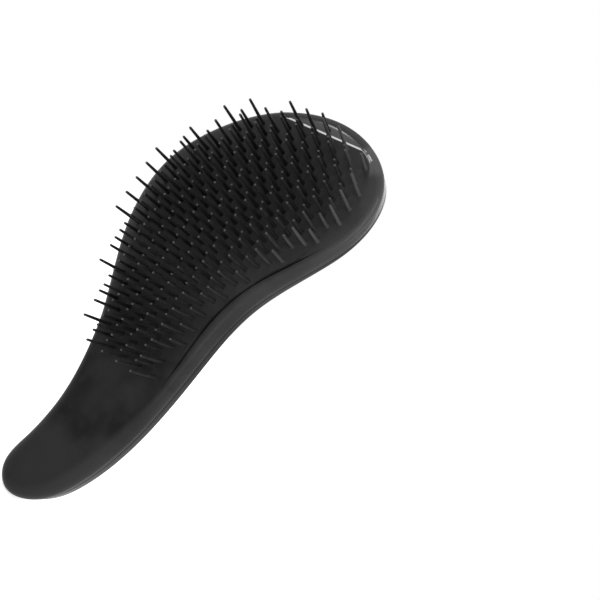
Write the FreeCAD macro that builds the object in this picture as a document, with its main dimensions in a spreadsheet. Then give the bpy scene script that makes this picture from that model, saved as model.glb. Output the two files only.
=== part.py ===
import FreeCAD, Part
import math
import os
from FreeCAD import Placement, Rotation, Vector

# Detangling hair brush with an S-shaped body, in millimetres.
# +Z runs from the handle to the head, the printed cover faces -Y and the bristles point to +Y.
# The origin lies inside the handle, where a hand holds the brush, on the plane where cover and frame meet.

DOC = FreeCAD.newDocument("detangling_brush")
SHEET = DOC.addObject("Spreadsheet::Sheet", "sizes")

SIZES = (
    ("overall_length", 185.0, "end of the handle to the end of the head"),
    ("overall_width", 76.5, "full reach of the outline from side to side"),
    ("grip_height", 40.0, "end of the handle to the middle of the grip"),
    ("outline_tolerance", 0.2, "how closely the arcs follow the outline"),
    ("frame_height", 7.0, "cover joint to the top of the frame's rim"),
    ("frame_wall", 1.8, "frame wall behind the ledge"),
    ("rim_width", 3.2, "width of the rim around the plate"),
    ("rim_round", 3.0, "outer rounding of the rim and of the handle's front"),
    ("seat_depth", 2.4, "top of the rim down to the ledge that carries the plate"),
    ("ledge_width", 2.2, "how far the ledge reaches under the plate"),
    ("ledge_thickness", 1.4, "thickness of the ledge"),
    ("seam_gap", 0.1, "gap between the plate's edge and the rim"),
    ("plate_crown", 1.2, "how far the plate stands above the rim at the middle of the head"),
    ("plate_radius", 2000.0, "lengthwise curve of the plate's face"),
    ("plate_bevel", 0.4, "bevel of the plate's edge"),
    ("plate_tail", 5.0, "how far the plate runs on past the first row of bristles"),
    ("plate_corner", 6.0, "rounding of the plate's corners at the handle"),
    ("cover_height", 8.5, "frame joint to the top of the cover's crown"),
    ("cover_wall", 1.8, "thickness of the cover's crown"),
    ("cover_round", 3.5, "rounding between the cover's crown and its side"),
    ("crown_radius", 300.0, "crosswise curve of the cover's crown"),
    ("lip_height", 2.6, "how far the cover's lip reaches into the frame"),
    ("lip_wall", 1.2, "thickness of the lip"),
    ("lip_clearance", 0.1, "gap between the lip and the frame wall"),
    ("long_bristle", 18.0, "length of a long bristle"),
    ("short_bristle", 13.0, "length of a short bristle"),
    ("root_diameter", 1.4, "bristle diameter at the plate"),
    ("tip_diameter", 0.95, "bristle diameter at its blunt tip"),
    ("bristle_pitch", 6.8, "spacing along a row of like bristles"),
    ("row_pitch", 6.3, "spacing between rows of like bristles"),
    ("field_margin", 2.3, "plate edge to the middle of the nearest bristle"),
    ("overrun", 4.0, "how far a cutting shape runs past what it cuts"),
)

# Flats stand for the round of a bristle.
BRISTLE_SIDES = 5

# Three flats stand for the round edge of the cover: each touches the round in its middle.
# The first cuts the corner off, and two more cut off the corners that it leaves.
FLAT_SHARE = 2 - math.sqrt(2)
SIDE_FLAT_SHARE = math.tan(math.pi / 16)

# Short bristles stand half a step along and half a step across from the long ones.
STAGGER_SHARES = (0.0, 0.5)

# The outline seen from the printed side, anticlockwise from the end of the handle:
# shares of the overall width from its left edge and of the overall length from the handle's end.
OUTLINE_SHARES = (
    (0.297, 0.000),
    (0.385, 0.022),
    (0.418, 0.100),
    (0.432, 0.170),
    (0.560, 0.335),
    (0.862, 0.512),
    (0.972, 0.610),
    (1.000, 0.690),
    (0.955, 0.785),
    (0.735, 0.930),
    (0.350, 1.000),
    (0.090, 0.960),
    (0.000, 0.845),
    (0.030, 0.765),
    (0.114, 0.600),
    (0.080, 0.440),
    (0.029, 0.235),
    (0.058, 0.115),
    (0.148, 0.032),
)
GRIP_ACROSS_SHARE = 0.241
HEAD_MIDDLE_SHARES = (0.541, 0.690)
FIELD_START_SHARES = (0.430, 0.345)

TOWARDS_BRISTLES = Vector(0, 1, 0)
PLAN = Rotation(Vector(1, 0, 0), 90)


def fill_sheet():
    """One row for each driving size: its name, its value and what it measures."""
    for row, (alias, value, meaning) in enumerate(SIZES, start=1):
        SHEET.set(f"A{row}", alias)
        SHEET.set(f"B{row}", str(value))
        SHEET.set(f"C{row}", meaning)
        SHEET.setAlias(f"B{row}", alias)
    DOC.recompute()


def size(alias):
    return float(SHEET.get(alias))


def plan_point(shares):
    """A point of the plan, across and along the brush, from its shares of the overall width and length."""
    across = (shares[0] - GRIP_ACROSS_SHARE) * size("overall_width")
    along = shares[1] * size("overall_length") - size("grip_height")
    return Vector(across, along, 0)


def outline_wire(inset):
    """The S-shaped outline as a closed chain of tangent arcs, moved inwards by the inset."""
    curve = Part.BSplineCurve()
    curve.interpolate([plan_point(shares) for shares in OUTLINE_SHARES], PeriodicFlag=True)
    arcs = curve.toBiArcs(size("outline_tolerance"))
    wire = Part.Wire([arc.toShape() for arc in arcs])
    return wire.makeOffset2D(-inset) if inset else wire


def lean_axes():
    """Directions of the plan along the line from grip to head and square to it."""
    along = plan_point(HEAD_MIDDLE_SHARES).normalize()
    return along, Vector(along.y, -along.x, 0)


def field_start():
    """The first row of bristles, along the line from grip to head and counted from the middle of the head."""
    along, _ = lean_axes()
    return (plan_point(FIELD_START_SHARES) - plan_point(HEAD_MIDDLE_SHARES)).dot(along)


def well_wire(inset):
    """The outline of the plate's well, moved inwards by the inset: the rim's inside, closed off at the handle."""
    along, across = lean_axes()
    end = plan_point(HEAD_MIDDLE_SHARES) + along * (field_start() - size("plate_tail"))
    reach = size("overall_length")
    corners = [end - across * reach, end + across * reach]
    corners += [corner + along * reach for corner in reversed(corners)]
    head_side = Part.Face(Part.makePolygon(corners + corners[:1]))
    region = Part.Face(outline_wire(size("rim_width"))).common(head_side)
    sharp = region.Faces[0].OuterWire
    return sharp.makeOffset2D(-size("plate_corner")).makeOffset2D(size("plate_corner") - inset)


def sketch_edge(edge):
    """A line or arc of an outline; an arc is turned so that it runs anticlockwise as a sketch wants it."""
    if isinstance(edge.Curve, Part.Line):
        return Part.LineSegment(edge.Vertexes[0].Point, edge.Vertexes[1].Point)
    centre = edge.Curve.Center
    first, last = (edge.valueAt(end) - centre for end in (edge.FirstParameter, edge.LastParameter))
    if edge.Curve.Axis.z < 0:
        first, last = last, first
    start = math.atan2(first.y, first.x)
    sweep = (math.atan2(last.y, last.x) - start) % math.tau
    circle = Part.Circle(centre, Vector(0, 0, 1), edge.Curve.Radius)
    return Part.ArcOfCircle(circle, start, start + sweep)


def sketch_geometry(wire):
    return [sketch_edge(edge) for edge in wire.Edges]


def body_sketch(body, name, geometry, level, role="XZ_Plane"):
    """A sketch in a body, parallel to one of its planes; the level counts towards the bristles."""
    sketch = body.newObject("Sketcher::SketchObject", name)
    plane = next(item for item in body.Origin.OriginFeatures if item.Role == role)
    sketch.AttachmentSupport = [(plane, "")]
    sketch.MapMode = "FlatFace"
    sketch.setExpression("AttachmentOffset.Base.z", f"-({level})")
    sketch.addGeometry(geometry, False)
    return sketch


def pad(body, sketch, length, towards_bristles):
    feature = body.newObject("PartDesign::Pad", f"{sketch.Name}_pad")
    feature.Profile = sketch
    feature.Reversed = towards_bristles
    feature.setExpression("Length", length)
    return feature


def pocket(body, sketch, length, towards_bristles):
    feature = body.newObject("PartDesign::Pocket", f"{sketch.Name}_pocket")
    feature.Profile = sketch
    feature.Reversed = not towards_bristles
    feature.setExpression("Length", length)
    before = body.Shape.Volume
    DOC.recompute()
    if body.Shape.Volume >= before:
        raise ValueError(f"{feature.Name} cuts nothing")
    return feature


def edge_numbers(shape, edges):
    """The numbers that some of a shape's edges have in it."""
    return [n for n, edge in enumerate(shape.Edges, start=1) if any(edge.isSame(one) for one in edges)]


def dress_edges(body, kind, name, wire, dimension, expression):
    """A rounding or bevel along a wire of the body's last feature."""
    base = body.Tip
    feature = body.newObject(kind, name)
    feature.Base = (base, [f"Edge{n}" for n in edge_numbers(base.Shape, wire.Edges)])
    feature.setExpression(dimension, expression)
    DOC.recompute()
    return feature


def widest_face(shape, kind):
    return max((face for face in shape.Faces if isinstance(face.Surface, kind)), key=lambda face: face.Area)


def build_frame():
    """The black front shell: wall, rounded rim, the handle's front and a ledge that carries the bristle plate."""
    body = DOC.addObject("PartDesign::Body", "body_frame")
    wall = body_sketch(body, "frame_outline", sketch_geometry(outline_wire(0)), "0")
    pad(body, wall, "sizes.frame_height", towards_bristles=True)
    DOC.recompute()
    well = body_sketch(body, "plate_well", sketch_geometry(well_wire(0)), "sizes.frame_height")
    pocket(body, well, "sizes.seat_depth", towards_bristles=False)
    ledge = sketch_geometry(well_wire(size("ledge_width")))
    opening = body_sketch(body, "ledge_opening", ledge, "sizes.frame_height")
    pocket(body, opening, "sizes.frame_height", towards_bristles=False)
    back = body_sketch(body, "wall_inside", sketch_geometry(outline_wire(size("frame_wall"))), "0")
    back_depth = "sizes.frame_height - sizes.seat_depth - sizes.ledge_thickness"
    pocket(body, back, back_depth, towards_bristles=True)
    rim = front_face(body).OuterWire
    dress_edges(body, "PartDesign::Fillet", "rim_rounding", rim, "Radius", "sizes.rim_round")
    return body


def front_face(body):
    """The flat face of a body that lies furthest towards the bristles."""
    flat = [face for face in body.Tip.Shape.Faces if isinstance(face.Surface, Part.Plane)]
    return max(flat, key=lambda face: (round(face.CenterOfMass.dot(TOWARDS_BRISTLES), 3), face.Area))


def build_plate():
    """The bristle plate: the crowned front of the head, seated on the frame's ledge and flush with the handle."""
    body = DOC.addObject("PartDesign::Body", "bristle_plate")
    seat = "sizes.frame_height - sizes.seat_depth"
    blank = body_sketch(body, "plate_outline", sketch_geometry(well_wire(size("seam_gap"))), seat)
    pad(body, blank, "sizes.seat_depth + sizes.plate_crown", towards_bristles=True)
    DOC.recompute()
    crown = body_sketch(body, "plate_face", face_profile(), "0", role="YZ_Plane")
    cut = body.newObject("PartDesign::Pocket", "plate_face_pocket")
    cut.Profile = crown
    cut.Midplane = True
    cut.setExpression("Length", "2 * sizes.overall_width")
    DOC.recompute()
    edge = widest_face(body.Tip.Shape, Part.Cylinder).OuterWire
    dress_edges(body, "PartDesign::Chamfer", "plate_bevelling", edge, "Size", "sizes.plate_bevel")
    return body


def face_profile():
    """What lies above the plate's face in side view: a box whose lower side is the face's long arc."""
    middle = plan_point(HEAD_MIDDLE_SHARES).y
    reach = size("overall_length") / 2 + size("overrun")
    top = size("frame_height") + size("plate_crown")
    end = top - plate_sag(reach)
    roof = top + size("overrun")
    low, high = Vector(end, middle - reach, 0), Vector(end, middle + reach, 0)
    low_roof, high_roof = Vector(roof, middle - reach, 0), Vector(roof, middle + reach, 0)
    face = Part.Arc(low, Vector(top, middle, 0), high)
    return [
        face,
        Part.LineSegment(high, high_roof),
        Part.LineSegment(high_roof, low_roof),
        Part.LineSegment(low_roof, low),
    ]


def plate_sag(distance):
    """How far the plate's face falls away at a distance along the brush from the middle of the head."""
    return size("plate_radius") - math.sqrt(size("plate_radius") ** 2 - distance ** 2)


def prism(name, inset, low, high):
    """The outline, moved in by the inset, extruded between two levels that count towards the bristles."""
    sketch = DOC.addObject("Sketcher::SketchObject", f"{name}_outline")
    sketch.Placement = Placement(Vector(), PLAN)
    sketch.addGeometry(sketch_geometry(outline_wire(inset)), False)
    solid = DOC.addObject("Part::Extrusion", name)
    solid.Base = sketch
    solid.DirMode = "Custom"
    solid.Dir = TOWARDS_BRISTLES
    solid.Solid = True
    solid.setExpression("LengthFwd", high)
    solid.setExpression("LengthRev", f"-({low})")
    return solid


def crown_cylinder(name, radius):
    """A long cylinder whose side is the cover's crown; it leans as the brush does from grip to head."""
    cylinder = DOC.addObject("Part::Cylinder", name)
    along, _ = lean_axes()
    lean = Vector(along.x, 0, along.y)
    middle = Vector(0, size("crown_radius") - size("cover_height"), 0)
    cylinder.Placement = Placement(middle - lean * size("overall_length"), Rotation(Vector(0, 0, 1), lean))
    cylinder.setExpression("Radius", radius)
    cylinder.setExpression("Height", "2 * sizes.overall_length")
    return cylinder


def boolean(kind, name, base, tool):
    feature = DOC.addObject(kind, name)
    feature.Base = base
    feature.Tool = tool
    return feature


def bevel(name, base, edges, depth):
    feature = DOC.addObject("Part::Chamfer", name)
    feature.Base = base
    feature.Edges = [(n, depth, depth) for n in edge_numbers(base.Shape, edges)]
    DOC.recompute()
    return feature


def wall_top_edges(shape):
    """Edges where the upright wall of the cover ends below the crown."""
    found = []
    for face in shape.Faces:
        upright = isinstance(face.Surface, Part.Cylinder) and round(face.Surface.Axis.dot(TOWARDS_BRISTLES))
        if upright:
            tops = [edge for edge in face.Edges if not isinstance(edge.Curve, Part.Line)]
            found.append(min(tops, key=lambda edge: edge.CenterOfMass.dot(TOWARDS_BRISTLES)))
    return found


def rounded_cover(outer):
    """Rounds the edge between crown and wall with three flats."""
    corner = widest_face(outer.Shape, Part.Cylinder).OuterWire.Edges
    flat = bevel("cover_flat", outer, corner, FLAT_SHARE * size("cover_round"))
    corners = widest_face(flat.Shape, Part.Cylinder).OuterWire.Edges + wall_top_edges(flat.Shape)
    return bevel("cover_rounded", flat, corners, SIDE_FLAT_SHARE * size("cover_round"))


def build_cover():
    """The printed back cover: a hollow crowned shell with a lip that fits inside the frame."""
    blank = prism("cover_blank", 0, "-sizes.cover_height - sizes.overrun", "0")
    outer = boolean("Part::Common", "cover_outer", blank, crown_cylinder("crown", "sizes.crown_radius"))
    DOC.recompute()
    rounded = rounded_cover(outer)
    lip_outer = size("frame_wall") + size("lip_clearance")
    lip_inner = lip_outer + size("lip_wall")
    lip = prism("cover_lip", lip_outer, "-sizes.cover_wall", "sizes.lip_height")
    with_lip = boolean("Part::Fuse", "cover_with_lip", rounded, lip)
    room = prism("cover_room", lip_inner, "-sizes.cover_height", "sizes.lip_height + sizes.overrun")
    inner_crown = crown_cylinder("inner_crown", "sizes.crown_radius - sizes.cover_wall")
    cavity = boolean("Part::Common", "cover_cavity", room, inner_crown)
    return boolean("Part::Cut", "back_cover", with_lip, cavity)


def bristle_pin(name, length):
    """One tapered bristle with a blunt tip, standing on the XY plane."""
    ends = (("root", "sizes.root_diameter / 2", "0"), ("tip", "sizes.tip_diameter / 2", length))
    rings = []
    for section, radius, height in ends:
        ring = DOC.addObject("Part::RegularPolygon", f"{name}_{section}")
        ring.Polygon = BRISTLE_SIDES
        ring.setExpression("Circumradius", radius)
        ring.setExpression("Placement.Base.z", height)
        rings.append(ring)
    pin = DOC.addObject("Part::Loft", name)
    pin.Sections = rings
    pin.Solid = True
    pin.Ruled = True
    pin.Linearize = True
    return pin


def bristle_places():
    """Places of the long and the short bristles on the plate's face.

    The rows run square to the line from grip to head. Short bristles stand midway between the long ones.
    """
    head = plan_point(HEAD_MIDDLE_SHARES)
    along, across = lean_axes()
    field = Part.Face(outline_wire(size("rim_width") + size("seam_gap") + size("field_margin")))
    rows = math.ceil(size("overall_length") / size("row_pitch"))
    columns = math.ceil(size("overall_width") / size("bristle_pitch"))
    long_places, short_places = [], []
    for places, stagger in zip((long_places, short_places), STAGGER_SHARES):
        for row in range(-rows, rows + 1):
            for column in range(-columns, columns + 1):
                forward = along * ((row + stagger) * size("row_pitch"))
                sideways = across * ((column + stagger) * size("bristle_pitch"))
                point = head + forward + sideways
                if forward.dot(along) >= field_start() and field.isInside(point, size("outline_tolerance"), True):
                    places.append(face_placement(point))
    return long_places, short_places


def face_placement(point):
    """Places a bristle at a point of the plan, square to the plate's curved face."""
    distance = point.y - plan_point(HEAD_MIDDLE_SHARES).y
    level = size("frame_height") + size("plate_crown") - plate_sag(distance)
    normal = Vector(0, math.sqrt(size("plate_radius") ** 2 - distance ** 2), distance)
    return Placement(Vector(point.x, level, point.y), Rotation(Vector(0, 0, 1), normal))


def bristle_group(name, pin, places):
    group = DOC.addObject("Part::Feature", name)
    bristles = []
    for place in places:
        bristle = pin.Shape.copy()
        bristle.Placement = place
        bristles.append(bristle)
    group.Shape = Part.makeCompound(bristles)
    return group


def check_document(parts):
    """Stops if any object of the document failed or any part has no sound shape."""
    for item in DOC.Objects:
        if "Invalid" in item.State or "Error" in item.State:
            raise ValueError(f"{item.Name} failed: {item.State}")
    for part in parts:
        if part.Shape.isNull() or not part.Shape.isValid():
            raise ValueError(f"{part.Label} has no valid shape")


def write_parts(parts):
    os.makedirs("parts", exist_ok=True)
    for part in parts:
        shape = part.Shape
        shape.exportStep(f"parts/{part.Label}.step")
        print(f"{part.Label}: {len(shape.Solids)} solids, {shape.Volume:.1f} cubic millimetres")


def main():
    fill_sheet()
    frame = build_frame()
    plate = build_plate()
    cover = build_cover()
    long_pin = bristle_pin("long_pin", "sizes.long_bristle")
    short_pin = bristle_pin("short_pin", "sizes.short_bristle")
    DOC.recompute()
    long_places, short_places = bristle_places()
    long_bristles = bristle_group("long_bristles", long_pin, long_places)
    short_bristles = bristle_group("short_bristles", short_pin, short_places)
    DOC.recompute()
    parts = [cover, frame, plate, long_bristles, short_bristles]
    check_document(parts)
    write_parts(parts)


main()
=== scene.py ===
import math

import bmesh
import bpy
import numpy as np
from mathutils import Matrix, Quaternion, Vector


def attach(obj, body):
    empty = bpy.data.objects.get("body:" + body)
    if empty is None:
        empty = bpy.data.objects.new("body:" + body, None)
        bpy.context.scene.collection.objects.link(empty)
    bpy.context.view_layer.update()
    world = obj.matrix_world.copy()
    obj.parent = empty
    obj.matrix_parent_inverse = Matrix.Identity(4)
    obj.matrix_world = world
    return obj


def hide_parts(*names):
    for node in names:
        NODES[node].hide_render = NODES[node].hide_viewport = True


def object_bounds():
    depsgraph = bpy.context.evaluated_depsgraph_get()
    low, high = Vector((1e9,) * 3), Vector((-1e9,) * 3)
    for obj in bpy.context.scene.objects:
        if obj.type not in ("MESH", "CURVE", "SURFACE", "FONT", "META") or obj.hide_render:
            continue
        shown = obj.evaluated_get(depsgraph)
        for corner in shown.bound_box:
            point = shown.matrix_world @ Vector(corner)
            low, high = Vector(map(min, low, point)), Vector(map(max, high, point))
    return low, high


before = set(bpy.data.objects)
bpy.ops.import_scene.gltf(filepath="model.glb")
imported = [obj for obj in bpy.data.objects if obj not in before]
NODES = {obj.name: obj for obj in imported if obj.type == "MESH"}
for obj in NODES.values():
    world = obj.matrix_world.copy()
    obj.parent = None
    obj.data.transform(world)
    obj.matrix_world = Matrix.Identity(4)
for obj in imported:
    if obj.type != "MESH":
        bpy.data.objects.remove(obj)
CAD_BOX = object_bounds()

MM = 0.001

# The CAD model's sizes, in millimetres, and its points as shares of the width and the length.
LENGTH = 185.0
WIDTH = 76.5
GRIP_HEIGHT = 40.0
FRAME_HEIGHT = 7.0
RIM_WIDTH = 3.2
RIM_ROUND = 3.0
SEAT_DEPTH = 2.4
PLATE_CROWN = 1.2
PLATE_RADIUS = 2000.0
PLATE_TAIL = 5.0
PLATE_CORNER = 6.0
LEVEL_RUN = 18.0
COVER_HEIGHT = 8.5
COVER_ROUND = 3.5
CROWN_RADIUS = 300.0
ROOT_RADIUS = 0.7
TIP_RADIUS = 0.475
BRISTLE_PITCH = 6.8
ROW_PITCH = 6.3
GRIP_ACROSS_SHARE = 0.241
GRIP_PLACE = (GRIP_ACROSS_SHARE * WIDTH, GRIP_HEIGHT)
HEAD_MIDDLE_SHARES = (0.541, 0.690)
FIELD_START_SHARES = (0.430, 0.345)
OUTLINE_SHARES = (
    (0.297, 0.000), (0.385, 0.022), (0.418, 0.100), (0.432, 0.170), (0.560, 0.335),
    (0.862, 0.512), (0.972, 0.610), (1.000, 0.690), (0.955, 0.785), (0.735, 0.930),
    (0.350, 1.000), (0.090, 0.960), (0.000, 0.845), (0.030, 0.765), (0.114, 0.600),
    (0.080, 0.440), (0.029, 0.235), (0.058, 0.115), (0.148, 0.032),
)

# Finer forms, in millimetres: the toe at the head's end.
TOE_EDGE_SHARES = ((0.716, 0.915), (0.240, 0.982))
TOE_BEVEL_WIDTH = 0.85
TOE_BEVEL_DROP = 0.30
TOE_SLOPE = 0.105
TOE_EDGE_DROP = 0.13
TOE_END_RUN = 8.0
TOE_FINE_REACH = 1.5 * TOE_BEVEL_WIDTH

# The edges of plate and rim. The bevel's turns give its slope in degrees at shares of its run.
BEVEL_WIDTH = 0.7
BEVEL_FOOT = 0.12
BEVEL_TURNS = ((0, 0.15, 0.85, 1), (90, 52, 38, 0))
OPEN_NARROWING = 0.5
EDGE_SLOPE = 0.364
EDGE_DROP_SHARE = 0.78
HANDLE_ROUND = 5.5
HANDLE_ROUND_RUN = 30.0
ROUND_DROP = 2.5
CIRCLE_SHARE = 0.55
LEAST_ROUND = 0.02
RIM_FLAT = RIM_WIDTH - RIM_ROUND
LEAST_EDGE = BEVEL_WIDTH + LEAST_ROUND

# The seam between plate and rim, set further in at the waist, and the joint line between shell and cover.
OPEN_SEAM = 0.32
CLOSED_GAP = 0.004
SEAT_GAP = 0.02
SEAT_LEVEL = FRAME_HEIGHT - SEAT_DEPTH + SEAT_GAP
FADE_RUN = 14.0
SEAM_TOP_SHARE = 0.80
SEAM_FADE_SHARE = 0.08
SEAM_END_RUN = 6.0
WAIST_SHARES = (0.38, 0.56, 0.60, 0.78)
WAIST_EXTRA = 1.4
JOINT_ROUND = 0.25
JOINT_DEPTH = 1.2
JOINT_GAP = 0.02
SHELL_WALL_SHARES = (0.25, 0.5, 0.75)
COVER_WALL_SHARES = (0.35, 0.75)
SLOPE_STEP = 0.5

# Where the plastic is painted paler, as painted light and painted sheen, on the front and on the outer pins.
# A table gives the painted sheen at shares of the way up the rim's rounding.
PAINTED_LIGHT_START = 25.0
PAINTED_LIGHT_RUN = 85.0
FACE_PAINTED_LIGHT = 0.43
RIM_PAINTED_SHEEN = ((0.0, 0.25, 0.7, 1.0), (0.2, 0.9, 0.6, 0.0))
HANDLE_PAINTED_SHEEN = 0.45
GROOVE_SHEEN_CUT = 0.35
TOE_PAINTED_SHEEN_RISE = 2
OUTER_SHARES = (0.66, 0.74)
OUTER_REACH = 12.5
OUTER_FADE = 5.0

# Where it is polished: the toe's edges, the head's upper left corner and the rim on the head's left.
EDGE_POLISH = 0.55
TOE_POLISH = 0.03
BEVEL_POLISH_RISE = 8
POLISH_START = 26.0
POLISH_END = 7.0
POLISH_RUN = 9.0
CORNER_SHARES = (0.205, 0.985)
CORNER_REACH = 8.0
CORNER_FADE = 4.0
CORNER_POLISH = 0.8
GLOSS_SHARES = (0.78, 0.88)
GLOSS_FACING = (0.1, 0.7)
RIM_GLOSS = ((0.0, 0.12, 0.35, 0.6), (0.08, 0.8, 0.35, 0.0))

# A pin's rings from its small foot to its round tip, and how uneven the pins are.
PIN_RADII = (ROOT_RADIUS + 0.26, ROOT_RADIUS + 0.02, TIP_RADIUS + 0.01, 0.8 * TIP_RADIUS, 0.0)
FOOT_HEIGHT = 0.34
TIP_DROPS = (0.42, 0.15, 0.0)
NEAR_TIP = (0.0, 0.0, 0.5, 1.0, 1.0)
PIN_LEAN = 0.006
PIN_SHORTER = 0.05
PIN_UNEVENNESS = 0.06
CORNER_DECIMALS = 3

# Steps of the grids: along the handle, along the head, across the faces and round an edge.
FINE_STEPS = 400
HANDLE_STEPS = 120
HEAD_STEPS = 230
TOE_STEPS = 44
ACROSS_STEPS = 72
CORNER_ARC_STEPS = ACROSS_STEPS // 6
PRINT_STEPS = 140
ROUND_STEPS = 14
BEVEL_STEPS = 14
EDGE_RINGS = 14
PIN_SIDES = 8
BEND_POWER = 3
SMALL_QUARTER = np.linspace(0, math.pi / 2, 5)

# Points closer than this are merged and edges shorter than this dissolved, in metres.
MERGE_DISTANCE = 2e-6
SHORTEST_EDGE = 1e-7


def plan_points(shares):
    """Across and along the brush, in millimetres, from shares of its width and length."""
    shares = np.asarray(shares, float)
    return (shares - (GRIP_ACROSS_SHARE, 0)) * (WIDTH, LENGTH) - (0, GRIP_HEIGHT)


def unit(vectors):
    """Vectors made one long."""
    return vectors / np.linalg.norm(vectors, axis=-1, keepdims=True)


def run_along(line):
    """Distances from the first point of a line to each of its points, along it."""
    return np.concatenate([[0], np.cumsum(np.linalg.norm(np.diff(line, axis=0), axis=1))])


def closed_spline(points, steps):
    """The smooth closed curve through some points: a periodic cubic spline over their chord lengths."""
    after = np.linalg.norm(np.roll(points, -1, 0) - points, axis=1)[:, None]
    before = np.roll(after, 1, 0)
    same = np.eye(len(points))
    system = before * np.roll(same, -1, 1) + 2 * (before + after) * same + after * np.roll(same, 1, 1)
    following = np.roll(points, -1, 0)
    turns = 6 * ((following - points) / after - (points - np.roll(points, 1, 0)) / before)
    bends = np.linalg.solve(system, turns)
    t = np.linspace(0, 1, steps, endpoint=False)[None, :, None]
    s = 1 - t
    sag = (s**3 - s) * bends[:, None] + (t**3 - t) * np.roll(bends, -1, 0)[:, None]
    curve = s * points[:, None] + t * following[:, None] + sag * after[:, None] ** 2 / 6
    return curve.reshape(-1, 2)


HEAD = plan_points(HEAD_MIDDLE_SHARES)
LEAN = unit(HEAD)
ACROSS = np.array([LEAN[1], -LEAN[0]])

FINE = closed_spline(plan_points(OUTLINE_SHARES), FINE_STEPS)
FINE = np.vstack([FINE, FINE[:1]])
RUN = run_along(FINE)
AHEAD = np.gradient(FINE, axis=0)
AHEAD[[0, -1]] = FINE[1] - FINE[-2]
AHEAD = unit(AHEAD)
FINE_OUTWARD = np.stack([AHEAD[:, 1], -AHEAD[:, 0]], 1)


def nearest_of(line, plan):
    """The number of a line's point that is nearest to each point of the plan, and how far off it is."""
    away = np.linalg.norm(plan[:, None] - line, axis=2)
    return away.argmin(1), away.min(1)


def at_run(values, run):
    """Values along the outline, read at distances from the end of the handle."""
    return np.stack([np.interp(run, RUN, values[:, k]) for k in (0, 1)], 1)


# The plate's well ends below the first row of bristles in a straight edge with two round corners.
END_LEVEL = plan_points(FIELD_START_SHARES) @ LEAN - PLATE_TAIL
WELL_PATH = FINE - FINE_OUTWARD * (RIM_WIDTH + PLATE_CORNER)
ABOVE_END = WELL_PATH @ LEAN > END_LEVEL + PLATE_CORNER
WELL_CORNERS = np.flatnonzero(ABOVE_END[1:] != ABOVE_END[:-1])
RIGHT_CORNER, LEFT_CORNER = RUN[WELL_CORNERS]

# At the head's end the plate's face stops at a straight edge, and a low toe slopes on from there to the rim.
TOE_EDGE = plan_points(TOE_EDGE_SHARES)
TOE_WAY = unit(np.array([TOE_EDGE[1, 1] - TOE_EDGE[0, 1], TOE_EDGE[0, 0] - TOE_EDGE[1, 0]]))
TOE_REACH = (FINE - FINE_OUTWARD * (RIM_WIDTH + BEVEL_WIDTH + LEAST_ROUND) - TOE_EDGE[0]) @ TOE_WAY
FAR = TOE_REACH.argmax()

# Stations along the outline. At the toe they lie in pairs level with its edge, closest together near it.
TOE_PAST = np.concatenate([
    np.linspace(0, TOE_FINE_REACH, TOE_STEPS // 2, endpoint=False),
    TOE_FINE_REACH
    + (TOE_REACH[FAR] - TOE_FINE_REACH) * np.sin(np.linspace(0, math.pi / 2, TOE_STEPS // 2 + 1)),
])
TOE_SPAN = FAR // 4
RISING = slice(FAR - TOE_SPAN, FAR + 1)
FALLING = slice(FAR + TOE_SPAN, FAR - 1, -1)
RIGHT_TOE = np.interp(TOE_PAST, TOE_REACH[RISING], RUN[RISING])
LEFT_TOE = np.interp(TOE_PAST, TOE_REACH[FALLING], RUN[FALLING])
STATIONS = np.concatenate([
    np.linspace(0, RIGHT_CORNER, HANDLE_STEPS, endpoint=False),
    np.linspace(RIGHT_CORNER, RIGHT_TOE[0], HEAD_STEPS - TOE_STEPS, endpoint=False),
    RIGHT_TOE[:-1],
    LEFT_TOE[:0:-1],
    np.linspace(LEFT_TOE[0], LEFT_CORNER, HEAD_STEPS - TOE_STEPS, endpoint=False),
    np.linspace(LEFT_CORNER, RUN[-1], HANDLE_STEPS, endpoint=False),
])
OUTLINE = at_run(FINE, STATIONS)
OUTWARD = unit(at_run(FINE_OUTWARD, STATIONS))
IN_HEAD = np.arange(HANDLE_STEPS, HANDLE_STEPS + 2 * HEAD_STEPS + 1)


def crown_level(plan):
    """Height of the cover's crown: a cylinder whose axis leans from grip to head."""
    return CROWN_RADIUS - COVER_HEIGHT - np.sqrt(CROWN_RADIUS**2 - (plan @ ACROSS) ** 2)


def eased(share):
    """A share from 0 to 1 that starts and ends gently, and stays at 0 or 1 outside."""
    share = np.clip(share, 0, 1)
    return share**2 * (3 - 2 * share)


def eased_between(value, start, end):
    """A share that goes gently from 0 where a value is at the start to 1 where it is at the end."""
    return eased((value - start) / (end - start))


def past_toe_edge(plan):
    """How far points of the plan lie beyond the straight edge where the plate's toe starts."""
    return (plan - TOE_EDGE[0]) @ TOE_WAY


def plate_rise(plan):
    """How far the plate's face stands above the rim.

    It is a long arc, highest at the head's middle and level with the handle at one end. At the other end it
    drops by a bevel and slopes on.
    """
    along = plan[..., 1] - HEAD[1]
    arc = PLATE_CROWN - (PLATE_RADIUS - np.sqrt(PLATE_RADIUS**2 - along**2))
    past = past_toe_edge(plan)
    bevel = TOE_BEVEL_DROP * np.clip(past / TOE_BEVEL_WIDTH, 0, 1)
    slope = TOE_SLOPE * np.maximum(past - TOE_BEVEL_WIDTH, 0)
    return arc * eased((plan @ LEAN - END_LEVEL) / LEVEL_RUN) - bevel - slope


def inset_plan(inset):
    """The outline moved inwards along its normals, by one distance or by one for each of its points."""
    return OUTLINE - OUTWARD * np.broadcast_to(inset, len(OUTLINE))[:, None]


def lifted(plan, level):
    """Points of the plan at a height: plan across is X, plan along is Z and the height is Y."""
    return np.stack([plan[..., 0], np.broadcast_to(level, plan.shape[:-1]), plan[..., 1]], -1)


def carried(insets, levels):
    """A profile carried round the outline: one closed ring for each inset and level."""
    return np.stack([lifted(inset_plan(inset), level) for inset, level in zip(insets, levels)])


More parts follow.
